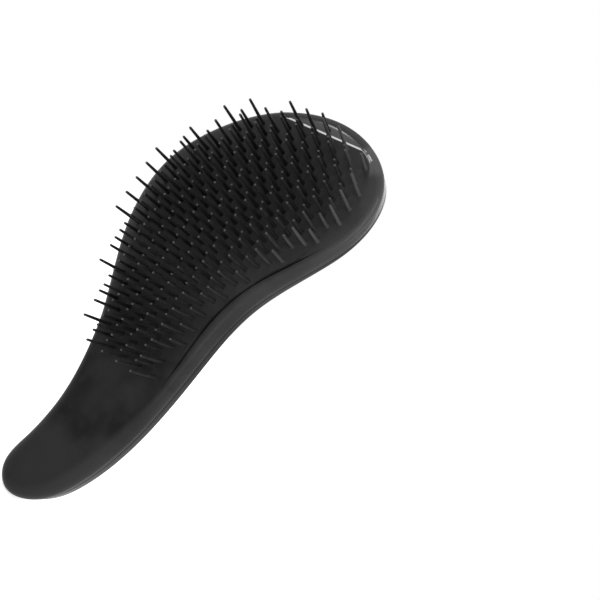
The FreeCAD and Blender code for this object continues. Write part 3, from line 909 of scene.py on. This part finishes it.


# The print: purple stripes on black, drawn on the back as seen from outside. Each stripe is a line of
# points: across from the left edge, along from the end of the handle, and the stripe's width, in millimetres.
STRIPES = (
    ((19.5, 184, 0.8), (25, 182.7, 1.6), (32, 181.2, 1.8), (38, 179.6, 2), (45, 177.2, 1)),
    ((8.5, 180, 1.4), (14, 180.8, 2.6), (19, 180, 2), (27.5, 179.3, 0.3)),
    ((13, 176.6, 1.6), (16, 176.6, 2.8), (22.5, 176.1, 2), (29, 177, 1.5), (36, 176.3, 1.7), (42, 174.5, 2),
     (47, 171.8, 0.4)),
    ((4.5, 175.2, 1), (8, 173.8, 2.2), (13.5, 171.9, 0.5)),
    ((2.5, 169.8, 1.6), (9, 169.8, 2.4), (14, 171.2, 2.6), (20.5, 173.1, 2.6), (26.5, 174.4, 1.8),
     (32.5, 174.4, 1.6), (38.5, 172.5, 1.8), (44, 169.8, 2.2), (49, 167.4, 2.4), (55, 165.9, 3.4),
     (62, 164.6, 1)),
    ((1, 165.2, 1.4), (8.5, 164.8, 2.4), (14, 166.8, 2.6), (20, 169.2, 2.2), (30, 170.3, 1.4),
     (37, 169.5, 1.4), (42, 167.4, 1.8), (46, 165, 0.5)),
    ((12, 165.8, 1.6), (20, 166.4, 3.2), (27, 166.2, 3.2), (34, 164.6, 2.6), (41, 163.2, 2.4),
     (46, 161, 3.2), (51, 158.8, 3), (54, 157, 0.8)),
    ((0.3, 161.3, 1.4), (5, 162.6, 1.6), (10, 164.2, 1.6)),
    ((0, 158.2, 1.8), (9, 158.2, 2), (14, 158.6, 2.4), (18, 157.2, 2.6), (24, 155.6, 2), (30, 154, 0.4)),
    ((20, 160.6, 0.4), (28, 159.6, 2), (34, 158, 3.2), (40, 156.2, 3.6), (45, 154.6, 3), (50.5, 152.6, 2.2),
     (55, 150.2, 2.4), (59.5, 147.6, 2.8), (63.5, 144.8, 2.8), (67, 142.3, 2.6), (69.5, 141.8, 1.4)),
    ((52, 158.6, 1.6), (57, 158, 2), (62, 159, 2.2), (67, 160.8, 1)),
    ((53, 156.6, 0.6), (56, 154, 1.4), (60, 153, 2.4), (64, 151.6, 2.8), (67.5, 148.8, 3.4),
     (71, 147.2, 2.4), (74, 145.2, 1.4)),
    ((0.5, 153.6, 1), (5, 154.9, 0.8), (9.5, 154.2, 1.1), (13, 152.2, 1.7), (18, 151.4, 1.9),
     (24, 152.5, 1.6), (29, 152.8, 2), (34, 152, 3.2), (40, 150.6, 2.4), (46, 149.8, 1.2), (53, 150.6, 1.2)),
    ((0.8, 149.3, 1.8), (6, 150.9, 1.6), (10.5, 147.8, 1.6), (15, 147.3, 1.7), (21, 148.6, 1.5),
     (26, 149.2, 1.4), (31, 147, 2), (36, 145.4, 2.4), (44, 144.6, 2), (51, 144.6, 2.2), (57, 142.2, 2.6),
     (60.5, 138.8, 2.2), (64, 136.6, 2), (69, 136.2, 2.6), (75, 138, 2.2)),
    ((48.5, 147.2, 0.6), (52, 145.6, 2), (56, 143, 2)),
    ((1.5, 144.6, 1.4), (6.5, 145.3, 2.4), (10.5, 143.9, 1.2), (15, 143.2, 1), (19.5, 145, 0.9),
     (25, 145.8, 1), (32, 145.8, 1.6)),
    ((21, 140.2, 0.6), (25.5, 141.4, 1.6), (30, 142, 2), (36, 140.9, 1.6), (42, 139.7, 1.7),
     (46.5, 138.5, 2.4)),
    ((4.5, 138.3, 3), (9, 138.4, 3), (13, 135.9, 3.4), (17.5, 133.6, 3.6), (22.5, 134, 3.2),
     (28, 136.1, 2.8), (34, 137.3, 2.2), (40, 137, 1.5), (46.5, 137.7, 2)),
    ((51.3, 137.6, 0.6), (56, 137, 2.2), (59, 134.4, 2.6), (62, 130.4, 1.8), (65.5, 125.8, 2),
     (69, 123.2, 2.4), (76, 121.2, 1.8)),
    ((59, 135.6, 1.6), (63.5, 133.2, 1.8), (67.5, 130.8, 2.6), (71, 128.6, 3), (76.5, 127.8, 2.2)),
    ((6.3, 131.2, 2), (9.8, 128.8, 2.4), (14.5, 126.9, 2), (18.5, 126.2, 2), (22.5, 127.7, 2.2),
     (28, 130.6, 2.8), (34, 131.9, 3), (40, 133, 2.4), (46, 132.8, 2), (52, 131.1, 2.2), (57.8, 127.9, 0.5)),
    ((9, 123.6, 2), (14.5, 123.1, 2.2), (20, 122, 2), (24.5, 123.3, 2.2), (29.5, 125.3, 2.6),
     (35, 127.1, 3.2), (39, 127.6, 3.4), (44, 126.2, 2.8), (49, 124.2, 2), (54, 122, 2), (56.8, 119.9, 0.6)),
    ((46.2, 128.9, 0.4), (50.5, 127.6, 1.4), (55, 125.3, 2.2), (59.5, 123, 2.8), (64, 119.8, 1.6),
     (68, 117.6, 1), (72, 115.9, 2.4), (76, 115.2, 2.6)),
    ((30.5, 120.5, 0.4), (35, 120.8, 2), (40, 120.5, 2.6), (45.5, 119.3, 2.4), (50.5, 118.1, 2),
     (55, 116.3, 2.8), (59.5, 114, 3.2), (64, 112.8, 2), (68, 111, 1.8), (72.5, 108.4, 2.2)),
    ((9.5, 119.2, 1.8), (14.5, 119, 2), (19, 118, 2.2), (22, 115.8, 2.6), (25, 113.6, 2), (30, 112.7, 1.8),
     (35, 111.4, 2.6), (39, 108.9, 2.8), (44.5, 106.7, 2.6), (50.5, 105.5, 2.2), (56.5, 105.6, 1),
     (61, 105.6, 0.8), (66, 105.4, 1.6), (71, 104.4, 2.6)),
    ((22.5, 116.8, 1.6), (30, 116.3, 1.2), (35.5, 116.4, 2), (41, 115.1, 2.4), (46, 113.3, 3.2),
     (51.5, 111.5, 4.2), (56.5, 109.7, 2.8), (61, 108.8, 2), (65.3, 107.9, 0.5)),
    ((9.7, 116.2, 1.6), (14.5, 114.8, 1.4), (19, 113.4, 1.3), (22.5, 111.9, 0.3)),
    ((9.8, 110.8, 2), (14.5, 111.1, 3.2), (19.5, 110.2, 3), (24, 109, 2.4), (28.5, 109, 1.4),
     (31.8, 109.3, 0.3)),
    ((10, 106.4, 1.2), (16.5, 105.8, 0.8), (22.5, 105.4, 0.9), (28, 105.9, 1.6), (32, 105, 3.2),
     (35.5, 104.1, 5.2), (39, 103.2, 4.6), (43, 101.4, 3.2), (47, 100.4, 2.6), (51.5, 100.9, 2.6),
     (55, 99.5, 3), (58, 96.9, 2.6), (61, 94.6, 1.4), (65.5, 93.9, 0.8)),
    ((56.6, 102.4, 0.4), (60.5, 101.6, 1.6), (64, 100.2, 2.2), (69, 97.8, 1.8)),
    ((10, 104, 1.4), (14.5, 102.9, 1.8), (19.5, 101.9, 2), (25, 101, 2.6), (29, 100.6, 2.6),
     (30.6, 100.4, 1.6)),
    ((9.8, 98.2, 1.8), (15.5, 97.3, 1.6), (21, 96.8, 1.4), (26.5, 97, 1.3), (31, 96.3, 2), (36, 95.5, 2.8),
     (42, 94.7, 4.4), (47, 93.4, 3.4), (51, 91.7, 2.4), (55, 90.2, 2), (60, 89.6, 2.2), (64, 90.2, 1.6)),
    ((9.7, 93.6, 1.6), (15.5, 92.9, 1), (20, 92.5, 1.1), (24, 91, 1.8), (29, 89.5, 2), (34, 89.6, 2.6),
     (38.5, 89.6, 3.4), (42, 87.8, 3.8), (45, 85.2, 3), (49, 83.3, 2.8), (54, 82.4, 2.4), (58.5, 81.6, 1.4)),
    ((44, 88.4, 1.4), (47.5, 88, 1.4), (52, 87, 1.4), (56, 86.1, 0.9), (60.5, 85.2, 0.6)),
    ((9.2, 89.8, 1.4), (13.5, 89.4, 1.1), (17.5, 89, 0.2)),
    ((9, 84.8, 1.4), (13.5, 86.3, 1.4), (18, 87, 1.2), (23.5, 86.9, 1.2), (28.5, 86.1, 1.6),
     (32.5, 84.5, 1.8), (36, 82.8, 1.8), (38, 81.7, 0.6)),
    ((8.3, 81.2, 1.6), (13, 83, 1.6), (17, 83.9, 1.4), (22, 84.1, 1.2), (26.5, 83.5, 1.4), (31, 81.9, 1.8),
     (35, 79.4, 1.8), (38.5, 77.1, 1.7), (42.5, 75.4, 2.4), (47, 74, 2.8), (51, 72.8, 1.6)),
    ((43.4, 81.1, 0.4), (45.3, 79.1, 1.6), (48.5, 77.9, 1.2), (54, 76.4, 1)),
    ((8, 77.3, 1.6), (12.5, 79.1, 1.2), (17, 79.9, 1), (22, 80.1, 1.1), (26, 79.1, 1.6), (30, 77.4, 2),
     (33.8, 75.9, 1.6), (37.3, 74, 0.3)),
    ((7.8, 75.6, 2), (12.5, 76.2, 2.2), (17, 76.3, 2.2), (22, 75.5, 1.8), (26.5, 74.6, 1.8),
     (31.5, 73.4, 2), (35.5, 71.7, 2.8), (39, 69.8, 3.4), (42.5, 68.4, 2.4), (47, 66.8, 1.4)),
    ((10, 71.5, 0.4), (14.5, 70.8, 1.2), (20, 70.2, 1.8), (25, 69.1, 2.4), (29.5, 67.7, 3.2),
     (34.5, 65.8, 3), (38.5, 64.1, 2.8), (42, 62.6, 2.2), (46, 60.8, 1.6)),
    ((7, 68.4, 1.8), (11, 67.8, 1.8), (15.5, 67, 1.5), (19, 66, 1.4), (22.5, 64.4, 2.2)),
    ((6.5, 63, 1.3), (12, 63.6, 1.6), (16.5, 64, 1.7), (22, 63.7, 2.6), (26.5, 62.4, 2.8), (31.5, 61, 2.4),
     (36, 60.4, 1.4), (42, 60.2, 0.9)),
    ((6, 58.7, 1), (10.5, 59.9, 1.4), (14.5, 60.4, 1.4), (19, 59.5, 1.8), (23, 58, 1.9), (28, 56.8, 2),
     (32.5, 55.7, 1.8), (37.5, 55.2, 1.8), (42, 55, 2)),
    ((5.6, 54.9, 1), (9.5, 56.1, 0.9), (14, 57.2, 0.8), (18.5, 57.5, 0.8), (23, 57.6, 1.2)),
    ((39.2, 57.8, 0.4), (41.5, 56.6, 1.4), (44, 56.4, 1.6)),
    ((12.4, 52.5, 0.6), (16, 53.1, 1.2), (20.5, 53.7, 1.8), (25, 52.8, 1.8), (29.5, 51.8, 1.2),
     (34, 50.8, 1.4), (37, 49.8, 2.4)),
    ((5.5, 48.2, 2.8), (10, 46.6, 3.4), (14, 46.9, 2.6), (19, 48.5, 2.2), (23.5, 49.3, 1.8),
     (29, 48.9, 1.2), (34, 48.7, 1.3), (37.2, 49.2, 1.8)),
    ((5.6, 41.4, 1.2), (9.7, 40.3, 1.4), (13, 40.8, 1.4), (17, 42.8, 1.7), (21.5, 43.8, 3), (26, 44.6, 2.8),
     (30, 45.6, 1.7), (34.5, 45.4, 1.3), (39.5, 44.2, 1.8)),
    ((5.8, 37.5, 1.6), (10, 36.1, 1.6), (14, 35.9, 1.6), (18.5, 37.4, 1.7), (22.5, 38.1, 1.7),
     (26.5, 39.2, 2.8), (30, 39.8, 3.2), (34, 39.1, 2.4), (38, 37.8, 1.8)),
    ((22.3, 33.8, 0.3), (26, 34.3, 1.4), (30, 34.1, 2), (34, 33.5, 2), (38, 32.5, 1.8)),
    ((6, 33.3, 2), (10, 32.5, 1.7), (13, 30.8, 1.7), (15.5, 28.7, 2.2), (18.5, 27.1, 1.9), (22.5, 26, 1.8),
     (26.5, 25.1, 2.2), (30, 23.4, 2.8), (33, 22.1, 2.6), (37, 22.2, 1.8)),
    ((14, 30.2, 0.9), (19, 29.9, 0.7), (23, 29.9, 1), (27.5, 29.4, 1.5), (31.5, 28.2, 2), (37, 26.8, 2.2)),
    ((7, 29.2, 1.4), (10.5, 27.5, 1.2), (13.3, 25.8, 0.3)),
    ((7.6, 25.4, 2), (12, 23.6, 2.6), (16, 22.7, 2), (20, 22.2, 1), (22, 22, 0.3)),
    ((9, 19.9, 1), (13.5, 19.2, 0.8), (17, 19.2, 1), (20.5, 18.7, 2.8), (24, 17.9, 4.6), (27.5, 17.2, 4.8),
     (30.5, 16.4, 3.6), (33, 15.2, 3), (37, 14.6, 2.8)),
    ((10.5, 15.6, 1.6), (14, 14.6, 3), (17.5, 14.1, 2.6), (20, 13.7, 1.8)),
    ((13, 10.3, 1.6), (17.5, 9.9, 1.6), (22, 9.1, 1.6), (26, 9, 2.6), (30, 9.1, 3.2), (34, 8.4, 2.8),
     (37, 8.2, 2.4)),
    ((19, 5, 1.4), (24, 3.2, 3.4), (28, 2.4, 5), (31.5, 1.4, 3.4)),
)
BARE_DEPTH = -3.0
BARE_ROUND_STEPS = 2
EDGE_REACH = 3.5
LEAST_STRIPE = 0.6
STRIPE_STEPS = 9
STRIPE_MARGIN = 6


def smooth_line(points, steps):
    """A Catmull-Rom curve through some points: each span bends by the points before and after it."""
    padded = np.vstack([2 * points[0] - points[1], points, 2 * points[-1] - points[-2]])
    a, b, c, d = padded[:-3, None], padded[1:-2, None], padded[2:-1, None], padded[3:, None]
    t = np.linspace(0, 1, steps, endpoint=False)[None, :, None]
    curve = b + (c - a) * t / 2 + (2 * a - 5 * b + 4 * c - d) * t**2 / 2 + (3 * b - a - 3 * c + d) * t**3 / 2
    return np.vstack([curve.reshape(-1, points.shape[1]), points[-1:]])


def to_the_edge(points):
    """A stripe's points; where its first or last lies near the outline, the stripe runs on across it."""
    ends = points[[0, -1], :2] - GRIP_PLACE
    near = nearest_of(OUTLINE, ends)[1] < EDGE_REACH
    ways = points[[0, -1]] - points[[1, -2]]
    ways *= [[1, 1, 0]] / np.linalg.norm(ways[:, :2], axis=1)[:, None]
    beyond = points[[0, -1]] + EDGE_REACH * ways
    return np.concatenate([beyond[:1][near[:1]], points, beyond[1:][near[1:]]])


def stripe_depth(plan):
    """How deep points of the plan lie inside a purple stripe, and below zero how far outside all of them.

    For each stripe, that is half its width less the distance from its line, the most over the line's points.
    """
    flat = plan.reshape(-1, 2) + GRIP_PLACE
    depth = np.full(len(flat), BARE_DEPTH)
    for stripe in STRIPES:
        widened = np.maximum(stripe, (-np.inf, -np.inf, LEAST_STRIPE))
        line = smooth_line(to_the_edge(widened), STRIPE_STEPS)
        low = line[:, :2].min(0) - STRIPE_MARGIN
        high = line[:, :2].max(0) + STRIPE_MARGIN
        near = np.flatnonzero(np.all((flat > low) & (flat < high), axis=1))
        gap = np.hypot(flat[near, None, 0] - line[:, 0], flat[near, None, 1] - line[:, 1])
        depth[near] = np.maximum(depth[near], np.max(line[:, 2] / 2 - gap, axis=1))
    return depth.reshape(plan.shape[:-1])


frame_piece()
plate_piece()
cover_piece()
bristle_piece("long_bristle_pins", "long_bristles", stagger=0.0, seed=3)
bristle_piece("short_bristle_pins", "short_bristles", stagger=0.5, seed=4)

# The studio, in metres: a pale floor, even white all round and lamps that face the middle of the brush.
FLOOR_REACH = 6.0
FLOOR_GAP = 0.0004
FLOOR_COLOUR = grey(0.85)
FLOOR_GLOW = 0.72
WORLD_LIGHT = 0.38
LAMP_AIM = Vector((0.02, 0.0, 0.06))

# The photograph's camera: where it looks from, how it is turned, and where the brush lies in the picture.
PICTURE = 600
AIM = np.array([18.0, 0.0, 55.0])
AZIMUTH, ELEVATION, ROLL = 199.09, 0.80, 47.14
DISTANCE = 280.0
FOCAL = 738.5
AIM_PIXEL = (173.2, 288.8)
SENSOR = 36.0
CLIP_START = 0.01


def seen_rays(n):
    """One for rays that see the studio from the camera, in reflections or through glass; zero for others."""
    path = n.add("ShaderNodeLightPath").outputs
    seen = n.math("MAXIMUM", path["Is Camera Ray"], path["Is Glossy Ray"])
    return n.math("MAXIMUM", seen, path["Is Transmission Ray"])


def pale_floor():
    """A wide pale floor under the end of the handle, which glows a little besides where it is seen."""
    level = CAD_BOX[0][2] - FLOOR_GAP
    corners = [(x * FLOOR_REACH, y * FLOOR_REACH, level) for x, y in ((-1, -1), (1, -1), (1, 1), (-1, 1))]
    mesh = bpy.data.meshes.new("floor")
    mesh.from_pydata(corners, [], [(0, 1, 2, 3)])
    floor = in_scene("floor", mesh)
    material = bpy.data.materials.new("pale_floor")
    material.use_nodes = True
    tree = material.node_tree
    n = Nodes(tree)
    tree.nodes.remove(tree.nodes["Principled BSDF"])
    pale = n.add("ShaderNodeBsdfDiffuse", {"Color": FLOOR_COLOUR}).outputs[0]
    strength = n.math("MULTIPLY", seen_rays(n), FLOOR_GLOW)
    glow = n.add("ShaderNodeEmission", {"Strength": strength}).outputs[0]
    both = n.add("ShaderNodeAddShader", {0: pale, 1: glow}).outputs[0]
    n.feed(tree.nodes["Material Output"], {"Surface": both})
    mesh.materials.append(material)


def studio_world():
    """Even white all round: full strength where it is seen, less where it only lights."""
    world = bpy.data.worlds.new("studio")
    bpy.context.scene.world = world
    world.use_nodes = True
    n = Nodes(world.node_tree)
    strength = n.math("MAXIMUM", seen_rays(n), WORLD_LIGHT)
    n.feed(world.node_tree.nodes["Background"], {"Color": grey(1), "Strength": strength})


def lamp(name, place, size, power, turn=0.0):
    """A rectangular soft lamp that faces the middle of the brush, turned about its own axis."""
    data = bpy.data.lights.new(name, "AREA")
    data.shape = "RECTANGLE"
    data.size, data.size_y = size
    data.energy = power
    light = in_scene(name, data)
    light.location = place
    light.rotation_mode = "QUATERNION"
    facing = (LAMP_AIM - Vector(place)).to_track_quat("-Z", "Y")
    light.rotation_quaternion = facing @ Quaternion((0, 0, 1), turn)


def photo_camera():
    """A camera at a distance from the aim, turned by azimuth, elevation and roll.

    It is then moved sideways until the aim lies at its place in the picture.
    """
    a, e, r = np.radians([AZIMUTH, ELEVATION, ROLL])
    back = np.array([math.sin(a) * math.cos(e), -math.cos(a) * math.cos(e), math.sin(e)])
    level = np.array([math.cos(a), math.sin(a), 0.0])
    above = np.cross(back, level)
    right = math.cos(r) * level + math.sin(r) * above
    up = -math.sin(r) * level + math.cos(r) * above
    off_x, off_y = (np.array(AIM_PIXEL) - PICTURE / 2) / FOCAL * DISTANCE
    place = (AIM + DISTANCE * back - off_x * right + off_y * up) * MM
    data = bpy.data.cameras.new("photo_camera")
    data.sensor_width = SENSOR
    data.lens = FOCAL / PICTURE * SENSOR
    data.clip_start = CLIP_START
    camera = in_scene("photo_camera", data)
    turn = Matrix((right, up, back)).transposed().to_4x4()
    turn.translation = Vector(place)
    camera.matrix_world = turn
    bpy.context.scene.camera = camera


pale_floor()
studio_world()
lamp("key_strip", (0.483, 0.597, 0.637), size=(0.30, 0.60), power=4.1, turn=math.radians(40))
lamp("corner_strip", (0.17, 0.58, 0.81), size=(0.10, 0.30), power=0.75)
lamp("side_strip", (-0.48, 0.25, 0.28), size=(0.22, 0.60), power=2.6)
lamp("back_fill", (0.10, -0.72, 0.42), size=(0.60, 0.60), power=2.2)
photo_camera()
bpy.context.scene.view_settings.view_transform = "Standard"
